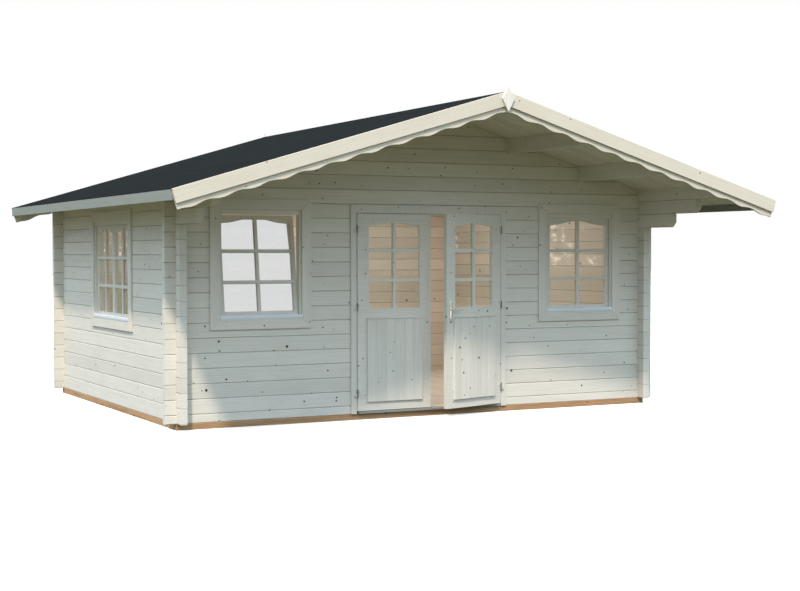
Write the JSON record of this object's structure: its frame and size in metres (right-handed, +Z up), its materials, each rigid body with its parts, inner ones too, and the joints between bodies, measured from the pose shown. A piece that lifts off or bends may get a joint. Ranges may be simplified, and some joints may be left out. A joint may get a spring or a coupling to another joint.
{
  "type": "garden cabin",
  "caption": "Log garden cabin with a low gable roof over a deep front porch, a double door and paned windows; people enter it and keep furniture and tools in it.",
  "frame": {"origin": "middle of the wall plan, on the underside of the foundation joists", "axes": "+Z up, -Y out of the front with the door, +X to the right as seen from the front"},
  "size_m": [6.09, 5.64, 3.024],
  "materials": {
    "painted_wood": "thin pale opaque stain, matt, grain and knots showing through",
    "natural_wood": "bare planed spruce",
    "impregnated_wood": "pressure-treated, rough sawn",
    "roofing_felt": "black bitumen felt, matt",
    "glass": "clear sheet glass",
    "dark_steel": "blackened steel",
    "bright_metal": "bright, slightly satin"
  },
  "bodies": {
    "cabin": {"front_wall_left": "painted_wood", "front_wall_right": "painted_wood", "front_gable": "painted_wood", "back_wall": "painted_wood", "back_gable": "painted_wood", "left_wall": "painted_wood", "right_wall": "painted_wood", "eave_fascias": "painted_wood", "left_bargeboards": "painted_wood", "right_bargeboards": "painted_wood", "left_scalloped_boards": "painted_wood", "right_scalloped_boards": "painted_wood", "finials": "painted_wood", "purlins": "painted_wood", "roof_boards_left": "painted_wood", "roof_boards_right": "painted_wood", "window_frames": "painted_wood", "window_casings": "painted_wood", "window_sills": "painted_wood", "front_left_sash": "painted_wood", "front_right_sash": "painted_wood", "side_window_sashes": "painted_wood", "door_frame": "painted_wood", "door_casing": "painted_wood", "floor_boards": "natural_wood", "window_inner_casings": "natural_wood", "door_inner_casing": "natural_wood", "door_threshold": "natural_wood", "foundation_side_beams": "impregnated_wood", "foundation_cross_joists": "impregnated_wood", "roof_felt_left": "roofing_felt", "roof_felt_right": "roofing_felt", "window_glass": "glass", "hinge_pins": "dark_steel"},
    "left_leaf": {"door_leaf_left": "painted_wood", "door_glass_left": "glass", "door_panel_left": "painted_wood", "hinge_knuckles_left": "dark_steel"},
    "right_leaf": {"door_leaf_right": "painted_wood", "door_glass_right": "glass", "door_panel_right": "painted_wood", "hinge_knuckles_right": "dark_steel", "handle_plates": "bright_metal"},
    "lever": {"handle_lever": "bright_metal"}
  },
  "joints": [
    {"name": "left_leaf_hinge", "type": "hinge", "parent": "cabin", "child": "left_leaf", "pos_m": [-0.777, -2.008, 1], "axis": [0, 0, -1], "range_deg": [0, 105]},
    {"name": "right_leaf_hinge", "type": "hinge", "parent": "cabin", "child": "right_leaf", "pos_m": [0.793, -2.008, 1], "axis": [0, 0, 1], "range_deg": [-18, 87]},
    {"name": "lever_turn", "type": "hinge", "parent": "right_leaf", "child": "lever", "pos_m": [0.10339, -2.22366, 1.028], "axis": [-0.309, 0.9511, 0], "range_deg": [0, 40], "stiffness_Nm_per_rad": 1.5, "springref_deg": -17.19}
  ]
}
